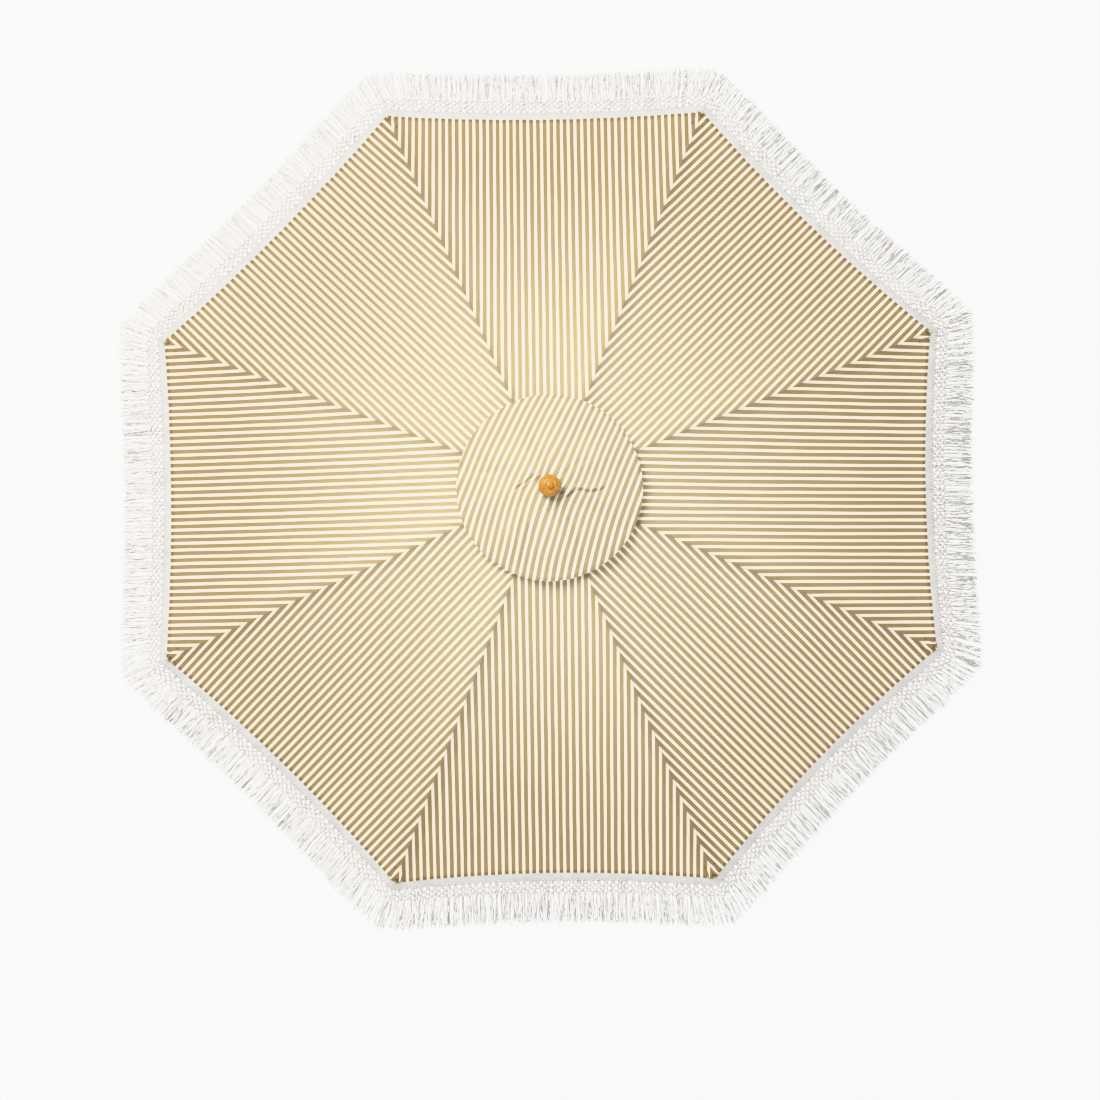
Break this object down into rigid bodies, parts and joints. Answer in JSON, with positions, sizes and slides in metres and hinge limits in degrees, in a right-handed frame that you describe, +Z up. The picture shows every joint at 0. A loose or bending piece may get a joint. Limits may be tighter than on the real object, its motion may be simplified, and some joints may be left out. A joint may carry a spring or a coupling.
{
  "type": "beach umbrella",
  "caption": "Beach umbrella with a striped canopy, capped wind vent, knotted fringe, timber ribs and struts on a sliding runner, and a two-piece pole with a sand spike.",
  "frame": {"origin": "point of the sand spike, which is the bottom centre of the open umbrella's box", "axes": "+Z up the pole; eight ribs at 22.5 degrees plus steps of 45 from +X, so that flat sides face +X, -X, +Y and -Y"},
  "size_m": [3.1132, 3.1132, 2.5432],
  "materials": {
    "timber": "satin",
    "pole_timber": "satin",
    "knob_timber": "gloss",
    "brass": "satin",
    "steel": "satin",
    "striped_cloth": "matte",
    "cotton": "matte"
  },
  "bodies": {
    "lower_pole": {"pole_lower": "pole_timber", "ground_spike": "steel", "spike_pin": "steel", "ferrule": "brass", "ferrule_pin": "steel"},
    "mast": {"pole_upper": "pole_timber", "crown": "timber", "crown_ring": "steel", "crown_peg": "pole_timber", "cap_washer": "brass", "finial_stud": "steel", "finial": "knob_timber", "vent_cap": "striped_cloth", "canopy": "striped_cloth", "fringe": "cotton"},
    "ferrule_knob": {"ferrule_screw": "brass"},
    "slider": {"runner": "timber"},
    "runner_knob": {"runner_screw": "brass"},
    "rib_arm_1": {"rib_1": "timber", "bracket_1": "brass", "bracket_pin_1": "steel", "tip_cap_1": "brass"},
    "strut_arm_1": {"strut_1": "timber"},
    "rib_arm_2": {"rib_2": "timber", "bracket_2": "brass", "bracket_pin_2": "steel", "tip_cap_2": "brass"},
    "strut_arm_2": {"strut_2": "timber"},
    "rib_arm_3": {"rib_3": "timber", "bracket_3": "brass", "bracket_pin_3": "steel", "tip_cap_3": "brass"},
    "strut_arm_3": {"strut_3": "timber"},
    "rib_arm_4": {"rib_4": "timber", "bracket_4": "brass", "bracket_pin_4": "steel", "tip_cap_4": "brass"},
    "strut_arm_4": {"strut_4": "timber"},
    "rib_arm_5": {"rib_5": "timber", "bracket_5": "brass", "bracket_pin_5": "steel", "tip_cap_5": "brass"},
    "strut_arm_5": {"strut_5": "timber"},
    "rib_arm_6": {"rib_6": "timber", "bracket_6": "brass", "bracket_pin_6": "steel", "tip_cap_6": "brass"},
    "strut_arm_6": {"strut_6": "timber"},
    "rib_arm_7": {"rib_7": "timber", "bracket_7": "brass", "bracket_pin_7": "steel", "tip_cap_7": "brass"},
    "strut_arm_7": {"strut_7": "timber"},
    "rib_arm_8": {"rib_8": "timber", "bracket_8": "brass", "bracket_pin_8": "steel", "tip_cap_8": "brass"},
    "strut_arm_8": {"strut_8": "timber"}
  },
  "joints": [
    {"name": "mast_lift", "type": "slide", "parent": "lower_pole", "child": "mast", "axis": [0, 0, 1], "range_m": [0, 0.15]},
    {"name": "ferrule_clamp", "type": "hinge", "parent": "lower_pole", "child": "ferrule_knob", "pos_m": [0.03, 0, 1.07], "axis": [1, 0, 0], "range_deg": [0, 180]},
    {"name": "runner_clamp", "type": "hinge", "parent": "slider", "child": "runner_knob", "pos_m": [0.03, 0, 1.97351], "axis": [1, 0, 0], "range_deg": [0, 180]},
    {"name": "runner_slide", "type": "slide", "parent": "mast", "child": "slider", "axis": [0, 0, -1], "range_m": [-0.0001, 0.82325]},
    {"name": "fold", "type": "hinge", "parent": "mast", "child": "rib_arm_1", "pos_m": [0.04158, 0.01722, 2.44], "axis": [-0.3827, 0.9239, 0], "range_deg": [0, 69], "deforming": ["canopy", "vent_cap", "fringe"]},
    {"name": "strut_1_swing", "type": "hinge", "parent": "rib_arm_1", "child": "strut_arm_1", "pos_m": [0.5811, 0.2407, 2.23176], "axis": [-0.3827, 0.9239, 0], "range_deg": [-138.02, 0.02]},
    {"name": "fold_2", "type": "hinge", "parent": "mast", "child": "rib_arm_2", "pos_m": [0.01722, 0.04158, 2.44], "axis": [-0.9239, 0.3827, 0], "range_deg": [-0.01, 69.01]},
    {"name": "strut_2_swing", "type": "hinge", "parent": "rib_arm_2", "child": "strut_arm_2", "pos_m": [0.2407, 0.5811, 2.23176], "axis": [-0.9239, 0.3827, 0], "range_deg": [-138.02, 0.02]},
    {"name": "fold_3", "type": "hinge", "parent": "mast", "child": "rib_arm_3", "pos_m": [-0.01722, 0.04158, 2.44], "axis": [-0.9239, -0.3827, 0], "range_deg": [-0.01, 69.01]},
    {"name": "strut_3_swing", "type": "hinge", "parent": "rib_arm_3", "child": "strut_arm_3", "pos_m": [-0.2407, 0.5811, 2.23176], "axis": [-0.9239, -0.3827, 0], "range_deg": [-138.02, 0.02]},
    {"name": "fold_4", "type": "hinge", "parent": "mast", "child": "rib_arm_4", "pos_m": [-0.04158, 0.01722, 2.44], "axis": [-0.3827, -0.9239, 0], "range_deg": [-0.01, 69.01]},
    {"name": "strut_4_swing", "type": "hinge", "parent": "rib_arm_4", "child": "strut_arm_4", "pos_m": [-0.5811, 0.2407, 2.23176], "axis": [-0.3827, -0.9239, 0], "range_deg": [-138.02, 0.02]},
    {"name": "fold_5", "type": "hinge", "parent": "mast", "child": "rib_arm_5", "pos_m": [-0.04158, -0.01722, 2.44], "axis": [0.3827, -0.9239, 0], "range_deg": [-0.01, 69.01]},
    {"name": "strut_5_swing", "type": "hinge", "parent": "rib_arm_5", "child": "strut_arm_5", "pos_m": [-0.5811, -0.2407, 2.23176], "axis": [0.3827, -0.9239, 0], "range_deg": [-138.02, 0.02]},
    {"name": "fold_6", "type": "hinge", "parent": "mast", "child": "rib_arm_6", "pos_m": [-0.01722, -0.04158, 2.44], "axis": [0.9239, -0.3827, 0], "range_deg": [-0.01, 69.01]},
    {"name": "strut_6_swing", "type": "hinge", "parent": "rib_arm_6", "child": "strut_arm_6", "pos_m": [-0.2407, -0.5811, 2.23176], "axis": [0.9239, -0.3827, 0], "range_deg": [-138.02, 0.02]},
    {"name": "fold_7", "type": "hinge", "parent": "mast", "child": "rib_arm_7", "pos_m": [0.01722, -0.04158, 2.44], "axis": [0.9239, 0.3827, 0], "range_deg": [-0.01, 69.01]},
    {"name": "strut_7_swing", "type": "hinge", "parent": "rib_arm_7", "child": "strut_arm_7", "pos_m": [0.2407, -0.5811, 2.23176], "axis": [0.9239, 0.3827, 0], "range_deg": [-138.02, 0.02]},
    {"name": "fold_8", "type": "hinge", "parent": "mast", "child": "rib_arm_8", "pos_m": [0.04158, -0.01722, 2.44], "axis": [0.3827, 0.9239, 0], "range_deg": [-0.01, 69.01]},
    {"name": "strut_8_swing", "type": "hinge", "parent": "rib_arm_8", "child": "strut_arm_8", "pos_m": [0.5811, -0.2407, 2.23176], "axis": [0.3827, 0.9239, 0], "range_deg": [-138.02, 0.02]}
  ],
  "couplings": [
    {"joint": "runner_slide", "follows": "fold", "m_per_rad": 0.68353},
    {"joint": "strut_1_swing", "follows": "fold", "ratio": -2},
    {"joint": "fold_2", "follows": "fold", "ratio": 1},
    {"joint": "strut_2_swing", "follows": "fold", "ratio": -2},
    {"joint": "fold_3", "follows": "fold", "ratio": 1},
    {"joint": "strut_3_swing", "follows": "fold", "ratio": -2},
    {"joint": "fold_4", "follows": "fold", "ratio": 1},
    {"joint": "strut_4_swing", "follows": "fold", "ratio": -2},
    {"joint": "fold_5", "follows": "fold", "ratio": 1},
    {"joint": "strut_5_swing", "follows": "fold", "ratio": -2},
    {"joint": "fold_6", "follows": "fold", "ratio": 1},
    {"joint": "strut_6_swing", "follows": "fold", "ratio": -2},
    {"joint": "fold_7", "follows": "fold", "ratio": 1},
    {"joint": "strut_7_swing", "follows": "fold", "ratio": -2},
    {"joint": "fold_8", "follows": "fold", "ratio": 1},
    {"joint": "strut_8_swing", "follows": "fold", "ratio": -2}
  ]
}
